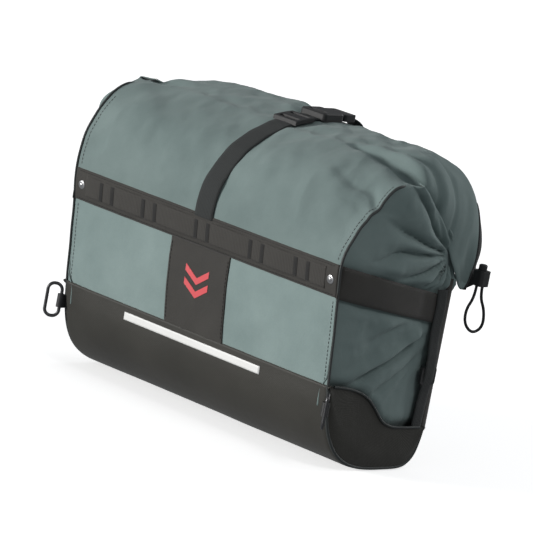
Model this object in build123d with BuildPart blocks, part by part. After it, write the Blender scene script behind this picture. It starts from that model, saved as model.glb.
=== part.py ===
# Motorcycle saddlebag for the right-hand side of the bike: a stiff black hull, fabric walls, and a
# fabric hood that folds outward over the crest, tied down by one buckled strap.
# X runs along the bag towards the front of the bike, Y runs inward to the bike, Z is up.
# The origin is on the flat underside of the hull. All lengths are in millimetres.
import os
from math import pi, radians, tan
from build123d import *

os.makedirs("parts", exist_ok=True)

# Driving dimensions of the bag
wall = 3.0
half_length = 225.0
inner_half = half_length - wall
fabric_gap = 3.5
face_bottom_y = -98.0
face_bottom_z = 62.0
hull_top_y = -104.0
hull_top_z = 102.0
face_top_y = -120.0
face_top_z = 242.0
shoulder_y = -66.0
shoulder_z = 333.0
crest_y = 60.0
crest_z = 354.0
bulge_y = 112.0
bulge_z = 290.0
back_y = 70.0
back_top_z = 225.0
back_bottom_z = 45.0
floor_outer_y = -45.0
floor_inner_y = 36.0
hull_inner_z = 51.0
far = 400.0

# Fold line of the hood
hinge_y = -32.0
hood_edge_z = 316.0
collar_top_z = 314.0
lip_top_z = 334.0
ear_plane = half_length + 3.0
ear_thick = 3.0
ear_outer = ear_plane + ear_thick

# Lash band around the outer face and the two ends
band_bottom_z = 204.0
band_thick = 2.0
band_half = inner_half - 3.0
webbing_thick = 1.6
webbing_half = 205.0
webbing_bottom_z = 210.0
webbing_top_z = 236.0
tack_centres = (-167.0, -92.0, 0.0, 92.0, 167.0)
tack_spread = 11.0
tack_width = 3.0
rivet_x = 212.0
rivet_r = 4.0
piping_width = 5.0
piping_high = 2.0
patch_half = 50.0
patch_thick = 1.2
badge_thick = 0.8
stripe_half = 117.0

# Tie-down strap, adjuster and side-release buckle
strap_half = 15.0
strap_thick = 2.6
strap_gap = 8.0
adjuster_y = (-21.0, 9.0)
socket_y = (22.0, 56.0)
socket_z = (359.0, 369.5)
plug_y = (58.5, 78.0)
tongue_start_y = 45.0
tongue_thick = 2.4
socket_room = 8.3
anchor_y = 119.0
anchor_z = 277.0
anchor_pin_r = 2.04
anchor_bore_r = 2.1
barrel_r = 4.5

# Corner rings for a shoulder strap
ring_wire_r = 2.0
ring_bore_r = 2.06
ring_x = half_length + 4.5
ring_y = -105.0
ring_z = 76.0
ring_reach = 17.0
ring_height = 40.0
ring_corner_r = 8.0

# Back hardware for a side carrier
plate_thick = 4.0
plate_half = 150.0
plate_z = (68.0, 216.0)
plate_outer_y = back_y + plate_thick
plate_screw_x = 138.0
plate_screw_z = (82.0, 203.0)
carrier_hole_x = 80.0
carrier_hole_z = (110.0, 170.0)
carrier_hole_r = 3.3
screw_r = 3.0
screw_hole_r = 3.2
board_y = (61.0, 64.0)
tube_r = 9.1
hook_outer_r = 14.0
hook_y = 93.0
hook_z = 199.0
hook_x = 95.0
hook_width = 30.0
latch_z = 100.0
latch_base_thick = 10.0
latch_shaft_r = 4.0

# Drawcord and its lock on the front ear of the hood
lock_y = 100.0
lock_bottom_z = 222.0
lock_size = 16.0
lock_height = 18.0
lock_x = ear_outer + lock_size / 2
button_r = 5.0
button_bottom_z = 232.0
button_top_z = 247.0
spring_bottom_z = 226.0
cord_r = 1.75


def save(piece, name):
    piece.part.label = name
    export_step(piece.part, f"parts/{name}.step")


def outline(grow):
    """Cross-section of the whole bag in the YZ plane, grown outward by the given amount."""
    with BuildSketch() as section:
        with BuildLine():
            ThreePointArc((floor_outer_y, 0), (-82, 24), (face_bottom_y, face_bottom_z))
            Polyline(
                (face_bottom_y, face_bottom_z), (hull_top_y, hull_top_z), (face_top_y, face_top_z)
            )
            ThreePointArc((face_top_y, face_top_z), (-105, 299), (shoulder_y, shoulder_z))
            ThreePointArc((shoulder_y, shoulder_z), (0, 355), (crest_y, crest_z))
            ThreePointArc((crest_y, crest_z), (99, 334), (bulge_y, bulge_z))
            Polyline((bulge_y, bulge_z), (back_y, back_top_z), (back_y, back_bottom_z))
            ThreePointArc((back_y, back_bottom_z), (60, 13), (floor_inner_y, 0))
            Line((floor_inner_y, 0), (floor_outer_y, 0))
        make_face()
        if grow:
            offset(amount=grow)
    return section.sketch


def window(*points):
    """A polygon in the YZ plane, or a rectangle if only two corners are given."""
    if len(points) == 2:
        (low_y, low_z), (high_y, high_z) = points
        points = ((low_y, low_z), (high_y, low_z), (high_y, high_z), (low_y, high_z))
    with BuildSketch() as shape:
        Polygon(*points, align=None)
    return shape.sketch


def layer(outer, inner, *windows):
    """The part of the wall between two offsets of the outline that lies inside the windows."""
    ring = outline(outer) - outline(inner)
    kept = [ring & shape for shape in windows]
    total = kept[0]
    for shape in kept[1:]:
        total = total + shape
    return total


cap_edge = (
    (-far, -far), (far, -far), (far, hull_inner_z), (12, hull_inner_z), (-35, 87), (-65, 97),
    (hull_top_y, hull_top_z), (-far, hull_top_z),
)

# Stiff hull: a trough along the bag with a cap at each end
with BuildPart() as hull_shell:
    with BuildSketch(Plane.YZ):
        add(
            layer(
                0, -wall,
                window((-far, -far), (far, -far), (far, hull_inner_z), (0, hull_inner_z),
                       (-60, hull_top_z), (-far, hull_top_z)),
            )
        )
    extrude(amount=inner_half, both=True)
save(hull_shell, "hull_shell")

for end, side in (("front", 1), ("rear", -1)):
    end_plane = Plane.YZ.offset(side * inner_half)
    skin_plane = Plane.YZ.offset(side * half_length)

    with BuildPart() as hull_cap:
        with BuildSketch(end_plane):
            add(outline(0) & window(*cap_edge))
        extrude(amount=side * wall)
    save(hull_cap, f"hull_cap_{end}")

    # End gusset: full height outside the fold line, and tucked under the hood inside it
    with BuildPart() as gusset:
        with BuildSketch(end_plane):
            add(outline(0) & window((-far, -far), (hinge_y - 1, far)))
            add(outline(-fabric_gap))
            add(window(*cap_edge), mode=Mode.SUBTRACT)
        extrude(amount=side * wall)
    save(gusset, f"{end}_gusset")

    with BuildPart() as gusset_band:
        with BuildSketch(skin_plane):
            Polygon(
                (-119, face_top_z), (-117, band_bottom_z), (44, 177), (44, 209), align=None
            )
        extrude(amount=side * band_thick)
    save(gusset_band, f"gusset_band_{end}")

    # Vertical webbing along the inner edge of the end, pulled tight by a slide
    with BuildPart() as end_strap:
        with BuildSketch(skin_plane):
            Polygon((45, 58), (61, 58), (61, 212), (45, 212), align=None)
        extrude(amount=side * band_thick)
    save(end_strap, f"end_strap_{end}")

    with BuildPart() as end_slide:
        with BuildSketch(Plane.YZ.offset(side * (half_length + band_thick))):
            with Locations((53, 112)):
                RectangleRounded(24, 20, 3)
            with Locations((53, 117), (53, 107)):
                SlotOverall(17, 3.5, mode=Mode.SUBTRACT)
        extrude(amount=side * 4)
    save(end_slide, f"end_slide_{end}")

    # Piping sewn into the edge between the outer panel and the gusset
    with BuildPart() as piping:
        with BuildSketch(Plane.YZ.offset(side * (half_length - piping_width))):
            add(layer(piping_high, 0, window((-far, hull_top_z), (hinge_y - 6, far))))
        extrude(amount=side * piping_width)
    save(piping, f"piping_{end}")

    # Ring keeper: a plate on the cap that carries a short tube
    ring_plane = Plane.XY.offset(ring_z - 8)
    with BuildPart() as keeper:
        with BuildSketch(ring_plane):
            with Locations((side * (half_length + 1.25), -93)):
                Rectangle(2.5, 24)
            with Locations((side * ring_x, ring_y)):
                Circle(4.5)
                Circle(ring_bore_r, mode=Mode.SUBTRACT)
        extrude(amount=16)
    save(keeper, f"ring_keeper_{end}")

    # Ring: round wire bent to a closed D, with its straight side in the keeper
    ring_frame = Plane(
        origin=(side * ring_x, ring_y, ring_z), x_dir=(side, -1, 0), z_dir=(1, side, 0)
    )
    with BuildPart() as ring:
        with BuildLine(ring_frame) as ring_path:
            FilletPolyline(
                (0, 0), (0, ring_height / 2), (ring_reach, ring_height / 2),
                (ring_reach, -ring_height / 2), (0, -ring_height / 2), (0, -1),
                radius=ring_corner_r,
            )
            Line((0, -1), (0, 0))
        with BuildSketch(Plane(ring_path.line @ 0, z_dir=ring_path.line % 0)):
            Circle(ring_wire_r)
        sweep()
    save(ring, f"corner_ring_{end}")

# Fabric walls between the gussets
with BuildPart() as outer_panel:
    with BuildSketch(Plane.YZ):
        add(layer(0, -wall, window((-far, hull_top_z), (hinge_y - 1, far))))
    extrude(amount=inner_half, both=True)
save(outer_panel, "outer_panel")

screw_spots = GridLocations(
    2 * plate_screw_x, plate_screw_z[1] - plate_screw_z[0], 2, 2
)
screw_height = (plate_screw_z[0] + plate_screw_z[1]) / 2
screw_plane = Plane(origin=(0, plate_outer_y, screw_height), x_dir=(1, 0, 0), z_dir=(0, -1, 0))

with BuildPart() as back_panel:
    with BuildSketch(Plane.YZ):
        add(layer(0, -wall, window((40, hull_inner_z), (100, back_top_z))))
    extrude(amount=inner_half, both=True)
    with BuildSketch(screw_plane), screw_spots:
        Circle(screw_hole_r)
    extrude(amount=20, mode=Mode.SUBTRACT)
save(back_panel, "back_panel")

# Soft collar above the back panel, with a lip that stays under the hood
with BuildPart() as inner_collar:
    with BuildSketch(Plane.YZ):
        add(
            layer(0, -wall, window((60, back_top_z), (far, collar_top_z)))
            + layer(0, -fabric_gap - wall, window((60, bulge_z), (far, collar_top_z)))
            + layer(-fabric_gap, -fabric_gap - wall, window((60, bulge_z), (far, lip_top_z)))
        )
    extrude(amount=inner_half, both=True)
save(inner_collar, "inner_collar")

# Stiffening boards inside
with BuildPart() as back_stiffener:
    with BuildSketch(Plane.XZ.offset(-board_y[0])):
        with Locations((0, 132)):
            RectangleRounded(410, 176, 20)
    extrude(amount=board_y[0] - board_y[1])
    with BuildSketch(screw_plane), screw_spots:
        Circle(screw_hole_r)
    extrude(amount=20, mode=Mode.SUBTRACT)
save(back_stiffener, "back_stiffener")

with BuildPart() as base_stiffener:
    with BuildSketch(Plane.XY.offset(wall + 0.3)):
        with Locations((0, -4)):
            RectangleRounded(420, 70, 12)
    extrude(amount=3)
save(base_stiffener, "base_stiffener")

# Trim on the outer face
with BuildPart() as lash_band:
    with BuildSketch(Plane.YZ):
        add(layer(band_thick, 0, window((-far, band_bottom_z), (0, face_top_z))))
    extrude(amount=band_half, both=True)
save(lash_band, "lash_band")

with BuildPart() as lash_webbing:
    with BuildSketch(Plane.YZ):
        add(
            layer(
                band_thick + webbing_thick, band_thick,
                window((-far, webbing_bottom_z), (0, webbing_top_z)),
            )
        )
    extrude(amount=webbing_half, both=True)
save(lash_webbing, "lash_webbing")

tack_offsets = [centre + shift for centre in tack_centres for shift in (-tack_spread, tack_spread)]
with BuildPart() as bar_tacks:
    for tack_x in tack_offsets:
        with BuildSketch(Plane.YZ.offset(tack_x - tack_width / 2)):
            add(
                layer(
                    band_thick + webbing_thick + 0.8, band_thick + webbing_thick,
                    window((-far, webbing_bottom_z + 1), (0, webbing_top_z - 1)),
                )
            )
        extrude(amount=tack_width)
save(bar_tacks, "bar_tacks")

band_middle_z = (band_bottom_z + face_top_z) / 2
band_slope_x = (face_top_y - hull_top_y) / (face_top_z - hull_top_z)
band_middle_y = face_top_y + band_slope_x * (band_middle_z - face_top_z) - band_thick - 0.05
rivet_plane = Plane(
    origin=(0, band_middle_y, band_middle_z), x_dir=(1, 0, 0), z_dir=(0, -1, band_slope_x)
)
with BuildPart() as band_rivets:
    with BuildSketch(rivet_plane):
        with Locations((-rivet_x, 0), (rivet_x, 0)):
            Circle(rivet_r)
    extrude(amount=1.6)
    chamfer(band_rivets.faces().sort_by(Axis.Y)[:2].edges(), length=0.8)
save(band_rivets, "band_rivets")

with BuildPart() as centre_patch:
    with BuildSketch(Plane.YZ):
        add(layer(patch_thick, 0, window((-far, hull_top_z), (0, band_bottom_z))))
    extrude(amount=patch_half, both=True)
save(centre_patch, "centre_patch")

# Two plain chevrons stand where a maker would put a badge
with BuildPart() as badge:
    with BuildSketch(Plane.XZ.offset(90)):
        for lift in (142, 158):
            with BuildLine():
                Polyline(
                    (0, lift), (20, lift + 13), (20, lift + 21), (0, lift + 8), (-20, lift + 21),
                    (-20, lift + 13), (0, lift), close=True,
                )
            make_face()
    extrude(amount=60)
    with BuildSketch(Plane.YZ.offset(-patch_half)):
        add(
            layer(
                patch_thick + badge_thick, patch_thick,
                window((-far, hull_top_z), (0, band_bottom_z)),
            )
        )
    extrude(amount=2 * patch_half, mode=Mode.INTERSECT)
save(badge, "badge")

with BuildPart() as reflective_stripe:
    with BuildSketch(Plane.YZ):
        add(layer(0.6, 0, window((-far, 84), (0, 94))))
    extrude(amount=stripe_half, both=True)
save(reflective_stripe, "reflective_stripe")

# Tie-down strap: the fixed part, the part on the hood, and the part on the bike side
with BuildPart() as strap_lower:
    with BuildSketch(Plane.YZ):
        add(layer(strap_thick, 0, window((-far, face_top_z + 1), (hinge_y - strap_gap, far))))
    extrude(amount=strap_half, both=True)
save(strap_lower, "strap_lower")

with BuildPart() as hood:
    with BuildSketch(Plane.YZ):
        add(layer(0, -wall, window((hinge_y + 0.5, hood_edge_z), (far, far))))
    extrude(amount=ear_outer, both=True)
    for side in (1, -1):
        with BuildSketch(Plane.YZ.offset(side * ear_plane)):
            add(
                outline(0)
                & window((-22, 365), (-22, 338), (20, 300), (62, 232), (114, 232), (114, 365))
            )
            Polygon(
                (58, 238), (66, 220), (80, 212), (98, 214), (108, 232), (112, 262),
                (bulge_y, bulge_z), (90, bulge_z), align=None,
            )
        extrude(amount=side * ear_thick)
save(hood, "hood")

with BuildPart() as hood_hem:
    with BuildSketch(Plane.YZ):
        add(layer(1.4, 0, window((60, hood_edge_z), (far, 332))))
    extrude(amount=ear_outer - 2, both=True)
save(hood_hem, "hood_hem")

with BuildPart() as strap_upper:
    with BuildSketch(Plane.YZ):
        add(layer(strap_thick, 0, window((hinge_y + strap_gap, 300), (socket_y[0], far))))
    extrude(amount=strap_half, both=True)
save(strap_upper, "strap_upper")

with BuildPart() as strap_adjuster:
    with BuildSketch(Plane.YZ):
        add(
            layer(
                strap_thick + 5, strap_thick,
                window((adjuster_y[0], 300), (adjuster_y[1], far)),
            )
        )
    extrude(amount=strap_half + 4, both=True)
    with BuildSketch(Plane.XY.offset(300)):
        with Locations((0, -14), (0, 2)):
            SlotOverall(2 * strap_half + 1, 6)
    extrude(amount=100, mode=Mode.SUBTRACT)
save(strap_adjuster, "strap_adjuster")

# Buckle: the socket is on the hood strap, and the plug is on the bike-side strap
socket_mid_y = (socket_y[0] + socket_y[1]) / 2
socket_depth = socket_y[1] - tongue_start_y + 1.5
with BuildPart() as buckle_socket:
    with BuildSketch(Plane.XY.offset(socket_z[0])):
        with Locations((0, socket_mid_y)):
            RectangleRounded(42, socket_y[1] - socket_y[0], 5)
    extrude(amount=socket_z[1] - socket_z[0])
    chamfer(buckle_socket.faces().sort_by(Axis.Z)[-1].edges(), length=1.5)
    with Locations((0, socket_y[1] - socket_depth / 2, (socket_z[0] + socket_z[1]) / 2)):
        Box(32, socket_depth, socket_room, mode=Mode.SUBTRACT)
    with Locations((0, socket_y[0] + 9, (socket_z[0] + socket_z[1]) / 2)):
        Box(28, 5, 20, mode=Mode.SUBTRACT)
save(buckle_socket, "buckle_socket")

plug_mid_z = (socket_z[0] + socket_z[1]) / 2
with BuildPart() as buckle_plug:
    with BuildSketch(Plane.XY.offset(plug_mid_z - 4)):
        with Locations((0, (plug_y[0] + plug_y[1]) / 2)):
            RectangleRounded(38, plug_y[1] - plug_y[0], 4)
    extrude(amount=8)
    with BuildSketch(Plane.XY.offset(plug_mid_z - tongue_thick / 2)):
        for prong_x in (-10, 0, 10):
            with Locations((prong_x, (tongue_start_y + plug_y[0]) / 2 + 1)):
                Rectangle(5, plug_y[0] - tongue_start_y + 2)
    extrude(amount=tongue_thick)
    with Locations((0, plug_y[1] - 8, plug_mid_z)):
        Box(30, 4, 20, mode=Mode.SUBTRACT)
save(buckle_plug, "buckle_plug")

with BuildPart() as inner_strap:
    with BuildSketch(Plane.YZ):
        with BuildLine() as strap_route:
            Spline(
                (plug_y[1], plug_mid_z), (97, 355), (112, 332), (119, 305),
                (anchor_y, anchor_z + barrel_r - 0.5),
                tangents=((1, 0), (0, -1)),
            )
        trace(line_width=2.2)
    extrude(amount=strap_half - 1, both=True)
    with BuildSketch(Plane.YZ):
        with Locations((anchor_y, anchor_z)):
            Circle(barrel_r)
    extrude(amount=strap_half - 1, both=True)
    with BuildSketch(Plane.YZ):
        with Locations((anchor_y, anchor_z)):
            Circle(anchor_bore_r)
    extrude(amount=strap_half + 2, both=True, mode=Mode.SUBTRACT)
save(inner_strap, "inner_strap")

wall_run = (bulge_y - back_y) / (bulge_z - back_top_z)


def collar_y(height):
    """Y of the sloping collar wall at the given height."""
    return bulge_y - wall_run * (bulge_z - height)


with BuildPart() as strap_anchor:
    with BuildSketch(Plane.YZ.offset(-strap_half - 5)):
        with BuildLine():
            Polyline(
                (collar_y(258), 258), (collar_y(287), 287), (anchor_y, anchor_z + 5.5),
                (anchor_y + 5, anchor_z), (anchor_y, anchor_z - 5.5), (collar_y(258), 258),
            )
        make_face()
        with Locations((anchor_y, anchor_z)):
            Circle(anchor_pin_r, mode=Mode.SUBTRACT)
    extrude(amount=2 * strap_half + 10)
    with BuildSketch(Plane.YZ.offset(-strap_half)):
        with Locations((anchor_y, anchor_z)):
            Circle(barrel_r + 5)
    extrude(amount=2 * strap_half, mode=Mode.SUBTRACT)
    with BuildSketch(Plane.YZ.offset(-strap_half)):
        Polygon(
            (collar_y(258) + 4, 250), (collar_y(300) + 4, 300), (160, 300), (160, 250), align=None
        )
    extrude(amount=2 * strap_half, mode=Mode.SUBTRACT)
save(strap_anchor, "strap_anchor")

with BuildPart() as strap_anchor_pin:
    with BuildSketch(Plane.YZ):
        with Locations((anchor_y, anchor_z)):
            Circle(anchor_pin_r)
    extrude(amount=strap_half + 6, both=True)
save(strap_anchor_pin, "strap_anchor_pin")

# Adapter plate on the back, with its screws, washers and nuts
carrier_height = (carrier_hole_z[0] + carrier_hole_z[1]) / 2
carrier_spots = GridLocations(2 * carrier_hole_x, carrier_hole_z[1] - carrier_hole_z[0], 2, 2)
plate_height = (plate_z[0] + plate_z[1]) / 2
with BuildPart() as adapter_plate:
    with BuildSketch(Plane(origin=(0, back_y, plate_height), x_dir=(1, 0, 0), z_dir=(0, 1, 0))):
        RectangleRounded(2 * plate_half, plate_z[1] - plate_z[0], 14)
    extrude(amount=plate_thick)
    with BuildSketch(screw_plane), screw_spots:
        Circle(screw_hole_r)
    extrude(amount=20, mode=Mode.SUBTRACT)
    with BuildSketch(
        Plane(origin=(0, plate_outer_y, carrier_height), x_dir=(1, 0, 0), z_dir=(0, -1, 0))
    ), carrier_spots:
        Circle(carrier_hole_r)
    extrude(amount=20, mode=Mode.SUBTRACT)
    with BuildSketch(
        Plane(origin=(0, plate_outer_y, carrier_height), x_dir=(1, 0, 0), z_dir=(0, -1, 0))
    ), GridLocations(90, 1, 2, 1):
        SlotOverall(60, 22, rotation=90)
    extrude(amount=20, mode=Mode.SUBTRACT)
save(adapter_plate, "adapter_plate")

with BuildPart() as plate_screws:
    with BuildSketch(screw_plane), screw_spots:
        Circle(screw_r)
    extrude(amount=20)
    with BuildSketch(screw_plane), screw_spots:
        Circle(5.5)
        RegularPolygon(2.3, 6, mode=Mode.SUBTRACT)
    extrude(amount=-3.2)
save(plate_screws, "plate_screws")

washer_plane = screw_plane.offset(plate_outer_y - board_y[0])
with BuildPart() as plate_washers:
    with BuildSketch(washer_plane), screw_spots:
        Circle(9)
        Circle(screw_hole_r, mode=Mode.SUBTRACT)
    extrude(amount=1.6)
save(plate_washers, "plate_washers")

with BuildPart() as plate_nuts:
    with BuildSketch(washer_plane.offset(1.6)), screw_spots:
        RegularPolygon(5.8, 6)
        Circle(screw_r + 0.05, mode=Mode.SUBTRACT)
    extrude(amount=5)
save(plate_nuts, "plate_nuts")

# Hooks that hang on the carrier's upper tube, open below
for name, place in (("front", hook_x), ("rear", -hook_x)):
    with BuildPart() as tube_hook:
        with BuildSketch(Plane.YZ.offset(place - hook_width / 2)):
            with Locations((hook_y, hook_z)):
                Circle(hook_outer_r)
            Polygon(
                (plate_outer_y, hook_z - 16), (hook_y, hook_z - 16), (hook_y, hook_z + 13),
                (plate_outer_y, hook_z + 13), align=None,
            )
            with Locations((hook_y, hook_z)):
                Circle(tube_r, mode=Mode.SUBTRACT)
            Polygon(
                (hook_y - tube_r, hook_z), (hook_y - tube_r, hook_z - 40),
                (hook_y + 40, hook_z - 40), (hook_y + 40, hook_z - 4),
                (hook_y + tube_r, hook_z - 4), (hook_y + tube_r, hook_z), align=None,
                mode=Mode.SUBTRACT,
            )
        extrude(amount=hook_width)
    save(tube_hook, f"tube_hook_{name}")

# Quarter-turn latch under the hooks
latch_face = Plane(origin=(0, plate_outer_y, latch_z), x_dir=(1, 0, 0), z_dir=(0, 1, 0))
with BuildPart() as latch_base:
    with BuildSketch(latch_face):
        RectangleRounded(48, 48, 6)
        Circle(latch_shaft_r + 0.05, mode=Mode.SUBTRACT)
    extrude(amount=latch_base_thick)
save(latch_base, "latch_base")

with BuildPart() as latch_shaft:
    with BuildSketch(latch_face.offset(0.5)):
        Circle(latch_shaft_r)
    extrude(amount=latch_base_thick + 14)
save(latch_shaft, "latch_shaft")

with BuildPart() as latch_lever:
    with BuildSketch(latch_face.offset(latch_base_thick + 0.4)):
        Circle(15)
        with Locations((0, -22)):
            RectangleRounded(16, 44, 6)
        Circle(latch_shaft_r, mode=Mode.SUBTRACT)
    extrude(amount=9)
    fillet(latch_lever.faces().sort_by(Axis.Y)[-1].outer_wire().edges(), radius=1.5)
save(latch_lever, "latch_lever")

# Cord lock: barrel, sprung button, and a loop of elastic drawcord below it
with BuildPart() as cord_lock_barrel:
    with BuildSketch(Plane.XY.offset(lock_bottom_z)):
        with Locations((lock_x, lock_y)):
            RectangleRounded(lock_size, lock_size, 4)
    extrude(amount=lock_height)
    with BuildSketch(Plane.XY.offset(spring_bottom_z)):
        with Locations((lock_x, lock_y)):
            Circle(button_r + 0.1)
    extrude(amount=lock_height, mode=Mode.SUBTRACT)
save(cord_lock_barrel, "cord_lock_barrel")

with BuildPart() as cord_lock_button:
    with BuildSketch(Plane.XY.offset(button_bottom_z)):
        with Locations((lock_x, lock_y)):
            Circle(button_r)
    extrude(amount=button_top_z - button_bottom_z)
    chamfer(cord_lock_button.faces().sort_by(Axis.Z)[-1].edges(), length=1)
save(cord_lock_button, "cord_lock_button")

with BuildPart() as cord_lock_spring:
    with BuildSketch(Plane.XY.offset(spring_bottom_z)):
        with Locations((lock_x, lock_y)):
            Circle(button_r - 0.6)
            Circle(button_r - 1.6, mode=Mode.SUBTRACT)
    extrude(amount=button_bottom_z - spring_bottom_z)
save(cord_lock_spring, "cord_lock_spring")

cord_points = [
    Vector(lock_x, lock_y - 5, lock_bottom_z),
    Vector(lock_x, lock_y - 5, 208),
    Vector(lock_x - 2, lock_y - 13, 193),
    Vector(lock_x, lock_y - 13, 176),
    Vector(lock_x + 2, lock_y + 1, 165),
    Vector(lock_x + 3, lock_y + 16, 173),
    Vector(lock_x + 2, lock_y + 14, 193),
    Vector(lock_x, lock_y + 5, 208),
    Vector(lock_x, lock_y + 5, lock_bottom_z),
]


def bend_radii(points):
    """The largest arc that each corner's two runs allow."""
    radii = []
    for before, corner, after in zip(points, points[1:], points[2:]):
        arriving = corner - before
        leaving = after - corner
        turn = radians(arriving.get_angle(leaving))
        radii.append(0.45 * min(arriving.length, leaving.length) / tan(turn / 2))
    return radii


cord_radii = bend_radii(cord_points)
with BuildPart() as drawcord_loop:
    with BuildLine() as cord_route:
        FilletPolyline(*cord_points, radius=cord_radii)
    with BuildSketch(Plane(cord_route.line @ 0, z_dir=cord_route.line % 0)):
        Circle(cord_r)
    sweep()
save(drawcord_loop, "drawcord_loop")
cord_length = cord_route.wires()[0].length
print("cord bend radii", [round(radius, 1) for radius in cord_radii])
print("cord length", round(cord_length, 1))
print("cord volume over section times length",
      round(drawcord_loop.part.volume / (pi * cord_r**2 * cord_length), 4))
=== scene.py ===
"""Looks of the motorcycle saddlebag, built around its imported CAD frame. Lengths are in metres."""
import math

import bpy
import numpy as np
from mathutils import Matrix, Vector


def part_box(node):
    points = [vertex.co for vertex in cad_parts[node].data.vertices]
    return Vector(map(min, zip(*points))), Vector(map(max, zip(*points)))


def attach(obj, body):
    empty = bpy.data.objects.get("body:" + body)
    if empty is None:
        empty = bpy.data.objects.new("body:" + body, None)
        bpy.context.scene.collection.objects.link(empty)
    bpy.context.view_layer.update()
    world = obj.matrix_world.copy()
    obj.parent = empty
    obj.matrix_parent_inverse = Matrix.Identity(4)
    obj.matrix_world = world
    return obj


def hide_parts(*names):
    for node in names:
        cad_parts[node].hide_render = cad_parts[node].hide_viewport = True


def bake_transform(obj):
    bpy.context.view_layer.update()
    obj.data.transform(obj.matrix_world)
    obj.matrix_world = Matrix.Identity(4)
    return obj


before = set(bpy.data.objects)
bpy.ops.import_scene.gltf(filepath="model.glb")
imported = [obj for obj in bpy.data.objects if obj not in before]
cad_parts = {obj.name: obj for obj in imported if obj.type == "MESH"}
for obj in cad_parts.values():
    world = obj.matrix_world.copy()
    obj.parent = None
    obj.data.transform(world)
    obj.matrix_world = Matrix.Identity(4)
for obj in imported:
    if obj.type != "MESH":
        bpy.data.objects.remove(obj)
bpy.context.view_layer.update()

MM = 0.001
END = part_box("outer_panel")[1].x + 3 * MM      # plane of the two ends
HULL_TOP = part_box("hull_shell")[1].z           # upper edge of the hull on the outer face
BAND_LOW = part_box("lash_band")[0].z
BAND_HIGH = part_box("lash_band")[1].z
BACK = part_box("adapter_plate")[0].y            # plane of the back panel
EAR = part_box("hood")[1].x                      # outer side of the hood's ears
# the same heights in millimetres, the unit of the shapes below
HULL_RIM = HULL_TOP / MM
BAND_FOOT = BAND_LOW / MM
BAND_HEAD = BAND_HIGH / MM
BAND_MIDDLE = (BAND_LOW + BAND_HIGH) / 2 / MM
LATTICE = 64                                   # size of the noise grid
ENDS = ((1, "front"), (-1, "rear"))            # the sign of x at each end


# ---------------------------------------------------------------- helpers
def smooth_step(low, high, value):
    """Rises smoothly from 0 at low to 1 at high."""
    t = np.clip((value - low) / (high - low), 0, 1)
    return t * t * (3 - 2 * t)


def hump(distance, width):
    """1 at no distance, falling off smoothly over the width."""
    return np.exp(-(distance / width) ** 2)


def run_along(points):
    """The distance to each point along the line through them all."""
    return np.concatenate([[0], np.cumsum(np.linalg.norm(np.diff(points, axis=0), axis=1))])


def curve_through(points, t):
    """Points of a smooth curve through the given points, at parameters 0..1 along it."""
    p = np.asarray(points, float)
    chord = np.concatenate([[0], np.cumsum(np.linalg.norm(np.diff(p, axis=0), axis=1) ** 0.5)])
    chord /= chord[-1]
    slope = np.gradient(p, chord, axis=0)
    t = np.clip(np.asarray(t, float), 0, 1)
    i = np.clip(np.searchsorted(chord, t, side="right") - 1, 0, len(p) - 2)
    h = (chord[i + 1] - chord[i])[..., None]
    s = ((t - chord[i])[..., None]) / h
    return (
        (2 * s**3 - 3 * s**2 + 1) * p[i]
        + (s**3 - 2 * s**2 + s) * h * slope[i]
        + (-2 * s**3 + 3 * s**2) * p[i + 1]
        + (s**3 - s**2) * h * slope[i + 1]
    )


def even_curve(points, count):
    """count points, evenly spaced, along a smooth curve through the given points."""
    dense = curve_through(points, np.linspace(0, 1, 600))
    length = run_along(dense)
    want = np.linspace(0, length[-1], count)
    return np.stack([np.interp(want, length, dense[:, k]) for k in range(dense.shape[1])], 1)


def noise(u, v, seed):
    """Smooth value noise between -1 and 1 over two coordinates."""
    grid = np.random.default_rng(seed).uniform(-1, 1, (LATTICE, LATTICE))
    u, v = np.asarray(u, float) + 100, np.asarray(v, float) + 100
    i, j = np.floor(u).astype(int), np.floor(v).astype(int)
    a, b = u - i, v - j
    a, b = a * a * (3 - 2 * a), b * b * (3 - 2 * b)

    def at(p, q):
        return grid[p % LATTICE, q % LATTICE]

    return (
        at(i, j) * (1 - a) * (1 - b)
        + at(i + 1, j) * a * (1 - b)
        + at(i, j + 1) * (1 - a) * b
        + at(i + 1, j + 1) * a * b
    )


def normals_of(grid):
    """The unit normal at each point of a grid."""
    n = np.cross(np.gradient(grid, axis=1), np.gradient(grid, axis=0))
    return n / np.maximum(np.linalg.norm(n, axis=2, keepdims=True), 1e-9)


def make_object(name, verts, faces, material, smooth=True, uvs=None):
    mesh = bpy.data.meshes.new(name)
    mesh.from_pydata([tuple(v) for v in verts], [], faces)
    mesh.update()
    if smooth:
        for polygon in mesh.polygons:
            polygon.use_smooth = True
    if uvs is not None:
        layer = mesh.uv_layers.new(name="UVMap")
        for loop in mesh.loops:
            layer.data[loop.index].uv = uvs[loop.vertex_index]
    thing = bpy.data.objects.new(name, mesh)
    bpy.context.scene.collection.objects.link(thing)
    mesh.materials.append(material)
    return thing


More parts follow.
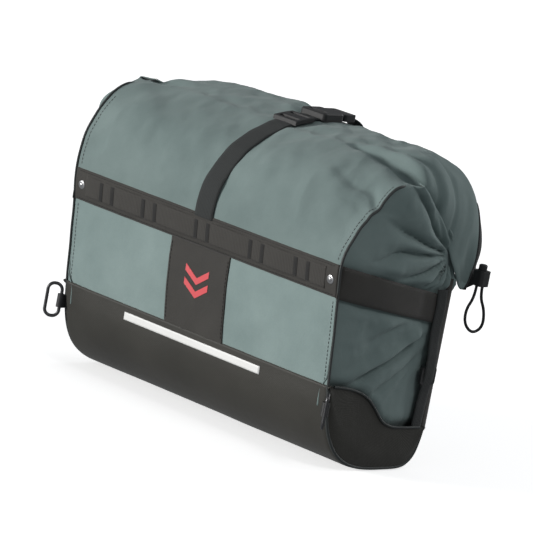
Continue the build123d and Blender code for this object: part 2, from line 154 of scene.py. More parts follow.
def sheet_mesh(name, grid, material, thick=0.0, flip=False):
    """A grid of points (rows, columns, 3) as a quad mesh, thickened inward if asked."""
    rows, cols = grid.shape[:2]
    faces = []
    for r in range(rows - 1):
        for c in range(cols - 1):
            a = r * cols + c
            quad = (a, a + 1, a + cols + 1, a + cols)
            faces.append(quad[::-1] if flip else quad)
    # distances along the cloth, so that a weave keeps its scale
    du = np.linalg.norm(np.diff(grid, axis=1), axis=2)
    dv = np.linalg.norm(np.diff(grid, axis=0), axis=2)
    u = np.concatenate([np.zeros((rows, 1)), np.cumsum(du, 1)], 1)
    v = np.concatenate([np.zeros((1, cols)), np.cumsum(dv, 0)], 0)
    u = u - u[:, [cols // 2]]
    uvs = np.stack([u, v], 2).reshape(-1, 2)
    thing = make_object(name, grid.reshape(-1, 3), faces, material, uvs=uvs)
    if thick:
        solid = thing.modifiers.new("thickness", "SOLIDIFY")
        solid.thickness = thick
        solid.offset = -1
        solid.use_even_offset = False
    return thing


def apply_modifiers(thing):
    """Bakes a piece's modifiers into its mesh."""
    graph = bpy.context.evaluated_depsgraph_get()
    mesh = bpy.data.meshes.new_from_object(thing.evaluated_get(graph))
    thing.modifiers.clear()
    old = thing.data
    thing.data = mesh
    bpy.data.meshes.remove(old)
    for polygon in mesh.polygons:
        polygon.use_smooth = True
    return thing


def tube(name, points, radius, material):
    """A round cord as a NURBS curve with a bevel, open at both ends."""
    data = bpy.data.curves.new(name, "CURVE")
    data.dimensions = "3D"
    spline = data.splines.new("NURBS")
    spline.points.add(len(points) - 1)
    for point, place in zip(spline.points, points):
        point.co = (*place, 1)
    spline.order_u = 3
    spline.use_endpoint_u = True
    data.bevel_depth = radius
    data.bevel_resolution = 4
    data.resolution_u = 6
    data.use_fill_caps = True
    thing = bpy.data.objects.new(name, data)
    bpy.context.scene.collection.objects.link(thing)
    data.materials.append(material)
    return thing


def ribbon(name, centre, across, out, thick, material):
    """Webbing along centre (n, 3), in millimetres. across is half its width as a vector and out its
    outward normal, one for each point or one for all."""
    centre, thick = centre * MM, thick * MM
    across = np.broadcast_to(across, centre.shape) * MM
    out = np.broadcast_to(out, centre.shape)
    n = len(centre)
    side = np.linspace(-1, 1, 9)
    crown = thick * (1 - 0.35 * np.abs(side) ** 4)
    top = centre[:, None] + side[None, :, None] * across[:, None] + crown[None, :, None] * out[:, None]
    low = centre[:, None] + side[None, :, None] * across[:, None]
    ring = np.concatenate([top, low[:, ::-1]], 1)
    m = ring.shape[1]
    faces = []
    for r in range(n - 1):
        for c in range(m):
            a, b = r * m + c, r * m + (c + 1) % m
            faces.append((a, b, b + m, a + m))
    faces.append(tuple(range(m))[::-1])
    faces.append(tuple((n - 1) * m + c for c in range(m)))
    run = run_along(centre)
    width = np.linalg.norm(across[0])
    uv_row = np.concatenate([side * width, side[::-1] * width])
    uvs = [(uv_row[c], run[r]) for r in range(n) for c in range(m)]
    return make_object(name, ring.reshape(-1, 3), faces, material, uvs=uvs)


# ---------------------------------------------------------------- materials
def new_material(name, colour, roughness, **inputs):
    material = bpy.data.materials.new(name)
    material.use_nodes = True
    shader = material.node_tree.nodes["Principled BSDF"]
    shader.inputs["Base Color"].default_value = (*colour, 1)
    shader.inputs["Roughness"].default_value = roughness
    for key, value in inputs.items():
        shader.inputs[key.replace("_", " ")].default_value = value
    return material, material.node_tree, shader


def node(tree, kind, **values):
    made = tree.nodes.new(kind)
    for key, value in values.items():
        if key in made.inputs:
            made.inputs[key].default_value = value
        else:
            setattr(made, key, value)
    return made


def link(tree, source, target):
    tree.links.new(source, target)


def math_node(tree, operation, a, b=None):
    made = tree.nodes.new("ShaderNodeMath")
    made.operation = operation
    for socket, value in zip(made.inputs, (a, b)):
        if value is None:
            continue
        if isinstance(value, (int, float)):
            socket.default_value = value
        else:
            tree.links.new(value, socket)
    return made.outputs[0]


def texture(tree, place, scale, detail, roughness, distortion=0.0):
    """The grey value of a noise texture."""
    made = node(tree, "ShaderNodeTexNoise", Scale=scale, Detail=detail, Roughness=roughness,
                Distortion=distortion)
    link(tree, place, made.inputs["Vector"])
    return made.outputs["Fac"]


def bump(tree, height, strength, distance, under=None):
    """The normal of a bump, laid over another bump if one is given."""
    made = node(tree, "ShaderNodeBump", Strength=strength, Distance=distance)
    link(tree, height, made.inputs["Height"])
    if under is not None:
        link(tree, under, made.inputs["Normal"])
    return made.outputs[0]


def colour_between(tree, shader, share, first, second):
    mix = node(tree, "ShaderNodeMix", data_type="RGBA")
    mix.inputs[6].default_value = (*first, 1)
    mix.inputs[7].default_value = (*second, 1)
    link(tree, share, mix.inputs[0])
    link(tree, mix.outputs[2], shader.inputs["Base Color"])


def uneven_roughness(tree, shader, share, roughness, spread):
    span = node(tree, "ShaderNodeMapRange")
    span.inputs["To Min"].default_value = roughness - spread
    span.inputs["To Max"].default_value = roughness + spread
    link(tree, share, span.inputs["Value"])
    link(tree, span.outputs[0], shader.inputs["Roughness"])


def thread_waves(tree, source, spacing):
    """A wave along one coordinate, one turn for each thread."""
    return math_node(tree, "SINE", math_node(tree, "MULTIPLY", source, 2 * math.pi / spacing))


def cloth_material(name, colour, dark, roughness, thread, weave=0.25, crumple=0.5, sheen=0.25,
                   mottle_scale=14.0, gloss=0.22):
    """Coated cloth: a plain weave from its own threads, soft crumples, tone that varies at random, and a
    little painted shade in the weave's hollows.
    """
    material, tree, shader = new_material(name, colour, roughness, Sheen_Weight=sheen, Sheen_Roughness=0.5,
                                          Specular_IOR_Level=gloss)
    coordinates = node(tree, "ShaderNodeTexCoord")
    place = coordinates.outputs["Object"]
    split = node(tree, "ShaderNodeSeparateXYZ")
    link(tree, coordinates.outputs["UV"], split.inputs[0])
    checker = math_node(tree, "MULTIPLY", thread_waves(tree, split.outputs[0], thread),
                        thread_waves(tree, split.outputs[1], thread))
    mottle = texture(tree, place, mottle_scale, 5.0, 0.55)
    fine = texture(tree, place, 900.0, 2.0, 0.6)
    ramp = node(tree, "ShaderNodeValToRGB")
    for stop, position, shade in zip(ramp.color_ramp.elements, (0.25, 0.75), (dark, colour)):
        stop.position = position
        stop.color = (*shade, 1)
    # random mottle, with the weave's height added: painted shade in its hollows
    mixed = math_node(tree, "ADD", mottle, math_node(tree, "MULTIPLY", checker, 0.05))
    speckle = math_node(tree, "MULTIPLY", math_node(tree, "SUBTRACT", fine, 0.5), 0.25)
    link(tree, math_node(tree, "ADD", mixed, speckle), ramp.inputs["Fac"])
    link(tree, ramp.outputs["Color"], shader.inputs["Base Color"])
    uneven_roughness(tree, shader, mottle, roughness, 0.08)
    crumples = bump(tree, texture(tree, place, 38.0, 6.0, 0.62, 0.6), crumple, 0.0022)
    link(tree, bump(tree, checker, weave, 0.0003, crumples), shader.inputs["Normal"])
    return material


def webbing_material(name, colour, light):
    """Woven webbing: fine ribs across, with a herringbone along."""
    material, tree, shader = new_material(name, colour, 0.72, Sheen_Weight=0.04, Specular_IOR_Level=0.3)
    split = node(tree, "ShaderNodeSeparateXYZ")
    link(tree, node(tree, "ShaderNodeTexCoord").outputs["UV"], split.inputs[0])
    across, along = split.outputs[0], split.outputs[1]
    zig = math_node(tree, "MULTIPLY", math_node(tree, "PINGPONG", across, 0.0012), 0.9)
    ribs = thread_waves(tree, math_node(tree, "ADD", along, zig), 0.0014)
    cords = math_node(tree, "MULTIPLY", thread_waves(tree, across, 0.0024), 0.6)
    height = math_node(tree, "ADD", ribs, cords)
    span = node(tree, "ShaderNodeMapRange")
    span.inputs["From Min"].default_value = -1.6
    span.inputs["From Max"].default_value = 1.6
    link(tree, height, span.inputs["Value"])
    # the colour follows the ribs' height: painted shade in the grooves and painted light on the rib tops
    colour_between(tree, shader, span.outputs[0], colour, light)
    link(tree, bump(tree, height, 0.5, 0.0004), shader.inputs["Normal"])
    return material


def moulded_material(name, colour, light, roughness, grain=1200.0, bump_strength=0.15, metallic=0.0):
    """Moulded plastic, rubber or coated metal: fine grain, uneven gloss and faint rubbing."""
    material, tree, shader = new_material(name, colour, roughness, Metallic=metallic)
    place = node(tree, "ShaderNodeTexCoord").outputs["Object"]
    broad = texture(tree, place, 22.0, 6.0, 0.6)
    fine = texture(tree, place, grain, 3.0, 0.5)
    rubbed = math_node(tree, "ADD", broad, math_node(tree, "MULTIPLY", fine, 0.15))
    colour_between(tree, shader, rubbed, colour, light)
    uneven_roughness(tree, shader, broad, roughness, 0.1)
    link(tree, bump(tree, fine, bump_strength, 0.0003), shader.inputs["Normal"])
    return material


GREY = (0.205, 0.262, 0.255)
GREY_DARK = (0.155, 0.205, 0.2)
LOW_SHADE = 1.27          # how much lighter the lower panels are
fabric = cloth_material("grey_fabric", GREY, GREY_DARK, 0.8, 0.0016, weave=0.3, crumple=0.35, sheen=0.1,
                        gloss=0.08)
fabric_low = cloth_material("grey_fabric_low", tuple(LOW_SHADE * c for c in GREY),
                            tuple(LOW_SHADE * c for c in GREY_DARK), 0.8, 0.0016, weave=0.3, crumple=0.3,
                            sheen=0.1, gloss=0.08)
black_fabric = cloth_material("black_fabric", (0.048, 0.045, 0.04), (0.031, 0.029, 0.026), 0.6, 0.0014,
                              weave=0.35, crumple=0.25, sheen=0.15)
lining = cloth_material("lining", (0.07, 0.08, 0.08), (0.05, 0.055, 0.055), 0.7, 0.002, weave=0.2)
hull_coat = cloth_material("hull_coat", (0.047, 0.045, 0.039), (0.033, 0.032, 0.028), 0.5, 0.0022,
                           weave=0.25, crumple=0.2, sheen=0.05, mottle_scale=9.0)
webbing = webbing_material("webbing", (0.019, 0.021, 0.021), (0.042, 0.046, 0.046))
lash = webbing_material("lash_webbing", (0.034, 0.032, 0.029), (0.075, 0.071, 0.065))
piping_black = moulded_material("piping_black", (0.022, 0.026, 0.026), (0.04, 0.046, 0.045), 0.6)
plastic = moulded_material("black_plastic", (0.01, 0.01, 0.011), (0.022, 0.022, 0.023), 0.55)
board = moulded_material("board", (0.05, 0.05, 0.05), (0.09, 0.09, 0.09), 0.7)
steel = moulded_material("steel", (0.42, 0.42, 0.43), (0.62, 0.62, 0.63), 0.32, metallic=1.0)
dark_steel = moulded_material("ring_steel", (0.035, 0.035, 0.037), (0.11, 0.11, 0.115), 0.35, metallic=0.7)
plate_coat = moulded_material("plate_coat", (0.03, 0.03, 0.031), (0.06, 0.06, 0.062), 0.5, grain=2500.0,
                              bump_strength=0.35)
red_print = moulded_material("red_print", (0.62, 0.06, 0.075), (0.72, 0.1, 0.11), 0.5)
white_print = moulded_material("white_print", (0.74, 0.74, 0.72), (0.86, 0.86, 0.85), 0.4)
cord_black = webbing_material("cord_black", (0.014, 0.014, 0.015), (0.04, 0.04, 0.042))
thread = moulded_material("thread", (0.09, 0.1, 0.1), (0.15, 0.16, 0.16), 0.7)
# near-black thread, which on the bar tacks also stands in as painted shadow at the lash loops' ends
black_thread_and_painted_shadow = moulded_material("black_thread_and_painted_shadow", (0.008, 0.008, 0.008), (0.02, 0.02, 0.02), 0.75)


# ---------------------------------------------------------------- the main cloth cover
# Profiles in the YZ plane, in millimetres, from the hull's top edge up to the fold line.
FACE_MIDDLE = [(-104, 98), (-110, 150), (-116.5, 204), (-121, 240), (-119.5, 264), (-109, 294),
               (-90, 320), (-64, 338), (-31, 350)]
FACE_FRONT = [(-103, 98), (-109, 150), (-115.5, 204), (-119.5, 240), (-116, 259), (-103, 281),
              (-83, 304), (-58, 324), (-27, 339)]
FACE_REAR = [(-103, 98), (-109, 150), (-115.5, 204), (-120, 240), (-118.5, 265), (-111, 293),
             (-94, 319), (-70, 339), (-39, 352)]
# From the fold line over the crest to the hem on the bike side
HOOD_MIDDLE = [(-31, 350), (8, 358), (42, 361), (75, 357), (101, 340), (110, 314)]
HOOD_FRONT = [(-27, 339), (0, 325), (24, 303), (45, 275), (61, 247), (74, 225), (88, 213), (103, 219)]
HOOD_REAR = [(-39, 352), (-8, 346), (21, 325), (44, 290), (60, 253), (73, 226), (88, 213), (103, 219)]
FACE_ROWS = 118
HOOD_ROWS = 92
COLUMNS = 281
FLAT_SHARE = 0.7          # share of the columns that run along the top, before the corner
FLAT_HALF = 158.0         # half length of that stretch
HALF = END / MM
EAR_HALF = EAR / MM - 1.5
GATHER_Y, GATHER_Z = 92, 205  # the point that each ear's gathers fan out from


def bezier(p0, p1, p2, p3, s):
    s = s[:, None]
    return (1 - s)**3 * p0 + 3 * (1 - s)**2 * s * p1 + 3 * (1 - s) * s**2 * p2 + s**3 * p3


def cover_grid():
    """The cover as rows from the hull up over the crest, and columns from rear to front."""
    u = np.linspace(-1, 1, COLUMNS)
    size = np.abs(u)
    inner = size < FLAT_SHARE
    corner = np.clip((size - FLAT_SHARE) / (1 - FLAT_SHARE), 0, 1)
    x_face = np.sign(u) * np.where(
        inner, size / FLAT_SHARE * FLAT_HALF, FLAT_HALF + corner * (HALF - FLAT_HALF)
    )
    middle = even_curve(FACE_MIDDLE, FACE_ROWS)
    front = even_curve(FACE_FRONT, FACE_ROWS)
    rear = even_curve(FACE_REAR, FACE_ROWS)
    grid = np.zeros((FACE_ROWS + HOOD_ROWS - 1, COLUMNS, 3))
    to_front = smooth_step(120, HALF, x_face)
    to_rear = smooth_step(175, HALF, -x_face)
    for r in range(FACE_ROWS):
        place = (middle[r] * (1 - to_front - to_rear)[:, None] + front[r] * to_front[:, None]
                 + rear[r] * to_rear[:, None])
        grid[r, :, 0] = x_face
        grid[r, :, 1:] = place
    top = even_curve(HOOD_MIDDLE, HOOD_ROWS)
    ends = {1: even_curve(HOOD_FRONT, HOOD_ROWS), -1: even_curve(HOOD_REAR, HOOD_ROWS)}
    for r in range(1, HOOD_ROWS):
        v = r / (HOOD_ROWS - 1)
        near_gusset = 1 - smooth_step(0.3, 1.0, v)
        bulge = 8 * smooth_step(0.06, 0.42, v) - 10 * smooth_step(0.5, 1.0, v)
        row = FACE_ROWS - 1 + r
        start_face = grid[FACE_ROWS - 1]
        for side in (1, -1):
            chosen = (u * side) >= 0
            target = ends[side][r]
            lift = np.array([top[r][0], top[r][1]])
            drop = target - lift
            bow = np.array([5 * v, 0])
            p0 = np.array([FLAT_HALF, *lift])
            p1 = np.array([HALF - 14, *(lift + 0.04 * drop + 0.4 * bow)])
            p2 = np.array([EAR_HALF + bulge, *(lift + 0.5 * drop + bow)])
            # the lip of the ear turns in until it lies on the gusset
            p3 = np.array([EAR_HALF - 9 * near_gusset - 4 * (1 - near_gusset), *target])
            arc = bezier(p0, p1, p2, p3, corner[chosen])
            flat = np.stack([size[chosen] / FLAT_SHARE * FLAT_HALF,
                             np.full(chosen.sum(), lift[0]), np.full(chosen.sum(), lift[1])], 1)
            points = np.where(inner[chosen][:, None], flat, arc)
            # keep the crest line's own shape near the fold
            near = smooth_step(0.0, 0.22, np.array([v]))[0]
            base = start_face[chosen].copy()
            shift = top[r] - top[0]
            turned = corner[chosen][:, None]
            base[:, 1:] += shift * (1 - turned) + (target - ends[side][0]) * turned
            base[:, 0] *= side
            points = points * near + base * (1 - near)
            points[:, 0] *= side
            grid[row, chosen] = points
    return grid


def cover_relief(grid):
    """Puffs, dents, creases and gathers, as a distance along the normal in millimetres."""
    x, y, z = grid[..., 0], grid[..., 1], grid[..., 2]
    rows, cols = grid.shape[:2]
    row = np.arange(rows)[:, None] * np.ones((1, cols))
    on_face = row < FACE_ROWS
    v = np.clip((row - FACE_ROWS + 1) / (HOOD_ROWS - 1), 0, 1)
    size = np.abs(x)
    # panels swell between the hull, the band and the piping
    low = np.clip((z - 102) / (BAND_FOOT - 102), 0, 1)
    swell = 2.2 * np.sin(np.pi * low) * (1 - smooth_step(195, 224, size))
    swell = np.where(on_face & (z < BAND_FOOT), swell, 0)
    dome = smooth_step(BAND_HEAD + 2, BAND_HEAD + 55, z)
    past_fold = smooth_step(FACE_ROWS - 34, FACE_ROWS + 16, row)
    dome = np.where(on_face, dome, 1.0)
    puffed = (1 - smooth_step(165, 220, size)) * smooth_step(17, 75, size)
    swell = swell + dome * (4.0 - 2.0 * past_fold) * puffed
    # the strap presses the dome in
    under_strap = np.where(on_face, smooth_step(250, 330, z), 1 - smooth_step(0.1, 0.35, v))
    pressed = -2.6 * hump(x, 24) * dome * under_strap
    # and one spot on the hood's middle line stands up
    pressed = pressed + 3.6 * hump(x, 34) * hump(v - 0.73, 0.11)
    # slow, uneven waves
    along = x / 46
    upward = row / 17
    waves = 1.9 * noise(along, upward, 3) + 1.2 * noise(along * 2.3, upward * 1.9, 5)
    # sharp little creases where two slopes meet
    ridged = 1 - 2 * np.abs(noise(x / 33 + row / 60, row / 15 - x / 160, 13))
    waves = waves + 1.1 * ridged * np.abs(noise(x / 60, row / 40, 15)) * 1.6
    waves = waves + 0.45 * noise(x / 11, row / 6.5, 17)
    waves = waves * (0.22 + 0.78 * dome)
    # long slanted tension lines from the strap and the corners
    slant = (x * 0.55 + row * 2.2) / 30
    lines = 0.9 * noise(slant, (x - row) / 90, 9) * dome
    total = swell + pressed + waves * (1 + 0.2 * past_fold) + lines
    # the crease that runs from each end of the fold line and fades into the panel
    fold_row = FACE_ROWS - 1
    for side, reach, depth in ((1, 110.0, 15.0), (-1, 165.0, 5.0)):
        towards = np.clip((side * x - reach) / (HALF - reach), 0, 1)
        centre_row = fold_row + 6 - 3 * towards + 2.5 * noise(x / 30, 0, 21)
        width = 3.4 + 3.4 * towards
        away = (row - centre_row) / width
        grown = towards**0.6 * (1 - 0.6 * smooth_step(0.86, 1.0, towards)) * (side * x > 0)
        total = total - depth * grown * hump(away, 1)
        total = total + 0.5 * depth * grown * hump(away - 1.8, 1)
        total = total + 0.35 * depth * towards * hump(away + 2.3, 1.3) * (side * x > 0)
    # smaller creases beside it, that run up into the dome
    for shift, start, depth, seed in ((-13, 128, 4.2, 23), (-25, 170, 1.6, 25), (19, 140, 3.6, 27),
                                      (38, 160, 2.2, 29)):
        towards = np.clip((x - start) / (HALF - start), 0, 1)
        away = row - fold_row - shift - 10 * towards * np.sign(shift) - 3 * noise(x / 25, 0, seed)
        total = total - depth * towards**0.7 * hump(away, 2.9)
    # gathers that fan out from the drawcord at each ear
    for side, seed in ((1, 31), (-1, 37)):
        here = side * x > 0
        fan = np.arctan2(z - GATHER_Z, y - GATHER_Y)
        reach = np.sqrt((y - GATHER_Y) ** 2 + (z - GATHER_Z) ** 2 + (np.abs(side * x - HALF)) ** 2)
        strength = 1 - smooth_step(35, 165, reach)
        pleats = np.sin(fan * 9 + 1.6 * noise(fan * 3, reach / 60, seed)) * strength * 3.6
        rim = smooth_step(0, 10, (cols - 1) / 2 - np.abs(np.arange(cols)[None, :] - (cols - 1) / 2))
        total = total + np.where(here & ~on_face, pleats * smooth_step(0.1, 0.45, v) * (0.35 + 0.65 * rim), 0)
    # gathers along the elastic hem
    hem = smooth_step(0.8, 1.0, v) * (1 - smooth_step(170, 220, size))
    total = total + hem * 1.6 * np.sin(x / 5.2 + 2.2 * noise(x / 30, v * 3, 41))
    return total


base = cover_grid()
cover = base + normals_of(base) * cover_relief(base)[..., None]
cover_normal = normals_of(cover)


def on_face(x, z, lift=0.0):
    """The point of the outer face at this x and height, raised off it, and the normal there."""
    column = np.interp(x, cover[0, :, 0], np.arange(COLUMNS))
    c = int(np.clip(round(float(column)), 0, COLUMNS - 1))
    heights = cover[:FACE_ROWS, c, 2]
    r = np.interp(z, heights, np.arange(FACE_ROWS))
    return on_cover(r, column, lift)


def on_cover(r, c, lift=0.0):
    """The point and normal at a row and column of the cover, between grid points too."""
    r = float(np.clip(r, 0, cover.shape[0] - 1.001))
    c = float(np.clip(c, 0, COLUMNS - 1.001))
    i, j = int(r), int(c)
    a, b = r - i, c - j

    def mix(field):
        return (field[i, j] * (1 - a) * (1 - b) + field[i + 1, j] * a * (1 - b)
                + field[i, j + 1] * (1 - a) * b + field[i + 1, j + 1] * a * b)

    normal = mix(cover_normal)
    normal = normal / np.linalg.norm(normal)
    return mix(cover) + normal * lift, normal


def face_grid(x_values, z_values, lift):
    """Points on the outer face, raised by a number or by lift(x, z)."""
    return np.array([[on_face(x, z, lift(x, z) if callable(lift) else lift)[0] for x in x_values]
                     for z in z_values])


def dress(thing, body, slot, *nodes):
    """Puts a finished piece on its body in place of its CAD nodes. Its slot is not used."""
    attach(thing, body)
    if nodes:
        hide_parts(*nodes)
    return thing


def dressed_sheet(name, grid, material, thick, body, slot, *nodes, flip=False):
    """A finished sheet over a grid in millimetres, on its body."""
    thing = apply_modifiers(sheet_mesh(name, grid * MM, material, thick=thick * MM, flip=flip))
    return dress(thing, body, slot, *nodes)


def across_fold(thing, slot, *nodes):
    """Bakes a piece that crosses the fold line in place and hides its CAD nodes; it goes on no body."""
    apply_modifiers(thing)
    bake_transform(thing)
    if nodes:
        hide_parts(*nodes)
    return thing


def make_cover():
    """One cloth over the face and the hood, lined inside and lighter below the band."""
    shell = sheet_mesh("cloth_cover", cover * MM, fabric, thick=1.8 * MM)
    for material in (lining, fabric_low, lining):
        shell.data.materials.append(material)
    for polygon in shell.data.polygons:
        if polygon.center.z < (BAND_LOW + BAND_HIGH) / 2:
            polygon.material_index = 2
    shell.modifiers["thickness"].material_offset = 1
    shell.modifiers["thickness"].material_offset_rim = 0
    across_fold(shell, "grey_fabric", "outer_panel", "hood")


def make_hem():
    """Webbing that binds the hood's free edge, turned over to the inside."""
    rows = [cover[r] + cover_normal[r] * 1.1 for r in range(-8, 0)]
    rows[0] = cover[-8] + cover_normal[-8] * 0.2
    down = cover[-1] - cover[-2]
    down = down / np.linalg.norm(down, axis=1, keepdims=True)
    rows.append(cover[-1] + cover_normal[-1] * 0.2 + down * 1.6)
    rows.append(cover[-1] - cover_normal[-1] * 2.0 + down * 1.4)
    rows += [cover[r] - cover_normal[r] * 2.9 for r in (-2, -5, -8)]
    dressed_sheet("hood_hem_webbing", np.array(rows), webbing, 0.9, "hood", "webbing", "hood_hem")


# ---------------------------------------------------------------- gussets
HULL_PROFILE = [(-105.6, 102), (-101, 72), (-93, 47), (-78, 25), (-58, 10), (-34, 2), (-8, 0), (26, 0),
                (46, 3), (60, 15), (66, 34), (68, 50)]
CAP_EDGE = [(-105.6, 102), (-84, 100.5), (-64, 97), (-48, 92), (-34, 84), (-20, 71), (-8, 59),
            (8, 52.5), (30, 51), (52, 50.5), (67, 50)]
GUSSET_INNER = {
    1: [(66, 40), (68, 100), (69, 160), (71, 200), (75, 226), (67, 253), (51, 280), (26, 312), (-14, 338)],
    -1: [(66, 40), (68, 100), (69, 160), (71, 200), (75, 228), (67, 258), (50, 296), (24, 331), (-26, 353)],
}
GUSSET_ROWS, GUSSET_COLUMNS = 120, 90


def gusset_grid(side):
    """Rows from the hull's cap up to the crest, columns from the outer piping inward."""
    edge_column = COLUMNS - 1 if side > 0 else 0
    outer = even_curve(cover[:FACE_ROWS, edge_column, 1:], GUSSET_ROWS)
    inner = even_curve(GUSSET_INNER[side], GUSSET_ROWS)
    q = np.linspace(0, 1, GUSSET_COLUMNS)
    grid = np.zeros((GUSSET_ROWS, GUSSET_COLUMNS, 3))
    for r in range(GUSSET_ROWS):
        share = r / (GUSSET_ROWS - 1)
        # the lower edge tucks down behind the hull's cap
        tuck = -13 * (1 - smooth_step(0.0, 0.3, share)) * np.sin(np.pi * q)
        tuck = tuck - 22 * (1 - smooth_step(0, 0.2, share)) * (1 - q)
        grid[r, :, 1] = outer[r, 0] + (inner[r, 0] - outer[r, 0]) * q
        grid[r, :, 2] = outer[r, 1] + (inner[r, 1] - outer[r, 1]) * q + tuck
    y, z = grid[..., 1], grid[..., 2]
    q = q[None, :] * np.ones((GUSSET_ROWS, 1))
    # edges are sewn flat at the piping, and drawn in under the hood's ear
    swollen = 6.5 if side > 0 else 9.0
    body = HALF - 1.5 + swollen * np.sin(np.pi * np.clip(q * 1.25, 0, 1)) ** 0.7
    cap_line = np.interp(y, [p[0] for p in CAP_EDGE], [p[1] for p in CAP_EDGE])
    over_cap = smooth_step(-6, 22, z - cap_line)
    body = body - 9.0 * (1 - smooth_step(-8, 12, z - cap_line))
    drawn = smooth_step(0.6, 0.98, q) * smooth_step(185, 250, z) * 5
    below = smooth_step(0.75, 1.0, q) * (1 - smooth_step(120, 220, z)) * 5
    # folds that run out from the crevice, above the band
    pull_y, pull_z = 64.0, 252.0
    angle = np.arctan2(z - pull_z, pull_y - y)
    reach = np.hypot(z - pull_z, y - pull_y)
    seed = 51 if side > 0 else 57
    fan = angle * 19 + 2.1 * noise(angle * 3.1, reach / 46, seed)
    folds = 2 * np.abs(np.sin(fan / 2)) ** 0.75 - 1.1
    strength = smooth_step(2, 30, reach) * (1 - smooth_step(70, 175, reach)) * smooth_step(0.02, 0.3, q)
    band_mid = 223 - 0.20 * (y + 119)
    above = smooth_step(band_mid + 18, band_mid + 32, z)
    finer = np.sin(angle * 29 + 2.4 * noise(angle * 4, reach / 30, seed + 5))
    relief = (7.2 * folds + 1.5 * finer * (1 - smooth_step(20, 90, reach))) * strength * above
    relief = relief + 4.5 * np.sin(np.pi * q) * above
    # slack folds hang slantwise below the band
    slant = (z - 106) - (y + 62) * 0.49
    lower = 1 - smooth_step(band_mid - 34, band_mid - 20, z)
    valley = -10.0 * hump(slant, 5.0) + 6.0 * hump(slant - 13, 8.0)
    second = slant + 34 - 0.12 * (y + 60)
    valley = valley - 6.0 * hump(second, 4.5) * smooth_step(-95, -30, y)
    third = slant - 44 + 5 * noise(y / 40, 0, seed + 7)
    valley = valley - 6.0 * hump(third, 4.5) * smooth_step(-80, 10, y)
    valley = valley + 3.0 * hump(third - 10, 6.0) * smooth_step(-80, 10, y)
    slant_low = (z - 78) - (y + 10) * 1.1
    valley = valley - 3.6 * hump(slant_low, 6.0) * smooth_step(-20, 30, y)
    relief = relief + valley * lower * smooth_step(0.05, 0.3, q)
    relief = relief + (1.5 * noise(y / 26, z / 20, seed + 2) + 0.5 * noise(y / 9, z / 8, seed + 3)) * (
        smooth_step(0.03, 0.2, q))
    # the band and the end strap are pulled tight and bite in
    pressed = np.exp(-((z - band_mid) / 20.0) ** 6)
    relief = relief * (1 - 0.9 * pressed) - 1.6 * pressed
    relief = relief * (1 - 0.85 * smooth_step(0.74, 0.84, q) * (1 - smooth_step(205, 225, z)))
    relief = relief * (0.1 + 0.9 * over_cap)
    if side < 0:
        # the rear end puffs out at two heights
        puffs = hump(z - 266, 13.0) + 1.1 * hump(z - 322, 17.0)
        relief = relief + 11.0 * puffs * smooth_step(0, 0.05, q) * (1 - smooth_step(0.2, 0.55, q))
    swell = 2.6 * hump(z - band_mid - 31, 10.0) + 2.2 * hump(z - band_mid + 30, 10.0)
    relief = relief + swell * np.sin(np.pi * q)
    grid[..., 0] = side * (body - drawn - below + relief)
    return grid


def make_gusset(side, end):
    """The cloth of one end, lined inside. Returns its grid, which the collar joins."""
    grid = gusset_grid(side)
    cloth = sheet_mesh(f"gusset_{end}_cloth", grid * MM, fabric, thick=1.6 * MM, flip=side < 0)
    cloth.data.materials.append(lining)
    cloth.modifiers["thickness"].material_offset = 1
    apply_modifiers(cloth)
    dress(cloth, "bag", "grey_fabric", f"{end}_gusset")
    return grid


# ---------------------------------------------------------------- hull
HULL_ROWS, HULL_COLUMNS = 90, 150


def hull_grid():
    """The trough, from its outer edge under the bag to the back; its ends are rounded over."""
    profile = even_curve(HULL_PROFILE, HULL_ROWS)
    half = HALF + 1.5
    # columns crowd towards the ends, where the edge is rounded over
    u = np.linspace(-1, 1, HULL_COLUMNS)
    x = np.sign(u) * half * (1 - (1 - np.abs(u)) ** 1.5)
    edge = 7.0
    inward = np.where(np.abs(x) > half - edge,
                      edge - np.sqrt(np.maximum(edge**2 - (np.abs(x) - (half - edge)) ** 2, 0)), 0)
    grid = np.zeros((HULL_ROWS, HULL_COLUMNS, 3))
    grid[..., 0] = x[None, :]
    grid[..., 1:] = profile[:, None, :]
    outward = -normals_of(grid)
    share = np.linspace(0, 1, HULL_ROWS)[:, None] * np.ones((1, HULL_COLUMNS))
    ripple = 0.7 * noise(grid[..., 0] / 60, share * 6, 61) * smooth_step(0.02, 0.15, share)
    belly = 1.6 * np.sin(np.pi * np.clip(share * 3.2, 0, 1))
    belly = belly * (1 - smooth_step(180, 222, np.abs(grid[..., 0])))
    grid[..., 1:] -= outward[..., 1:] * (0.35 * inward[None, :, None])
    lifted = grid + outward * (ripple + belly)[..., None]
    lifted[..., 2] = np.maximum(lifted[..., 2], 0.0)
    return lifted


def hull_cap_grid(side, trough):
    """An end cap, from the trough's rim to its own curved upper edge."""
    column = HULL_COLUMNS - 1 if side > 0 else 0
    rim = trough[:, column]
    edge = even_curve(CAP_EDGE, HULL_ROWS)
    steps = 26
    grid = np.zeros((steps, HULL_ROWS, 3))
    for s in range(steps):
        share = s / (steps - 1)
        grid[s, :, 1:] = rim[:, 1:] * (1 - share) + edge * share
        grid[s, :, 0] = side * (HALF + 1.5 + 3.2 * math.sin(math.pi / 2 * min(1, share * 3)) - 1.4 * share)
    grid[..., 0] += side * 0.5 * noise(grid[..., 1] / 28, grid[..., 2] / 25, 67)
    return grid


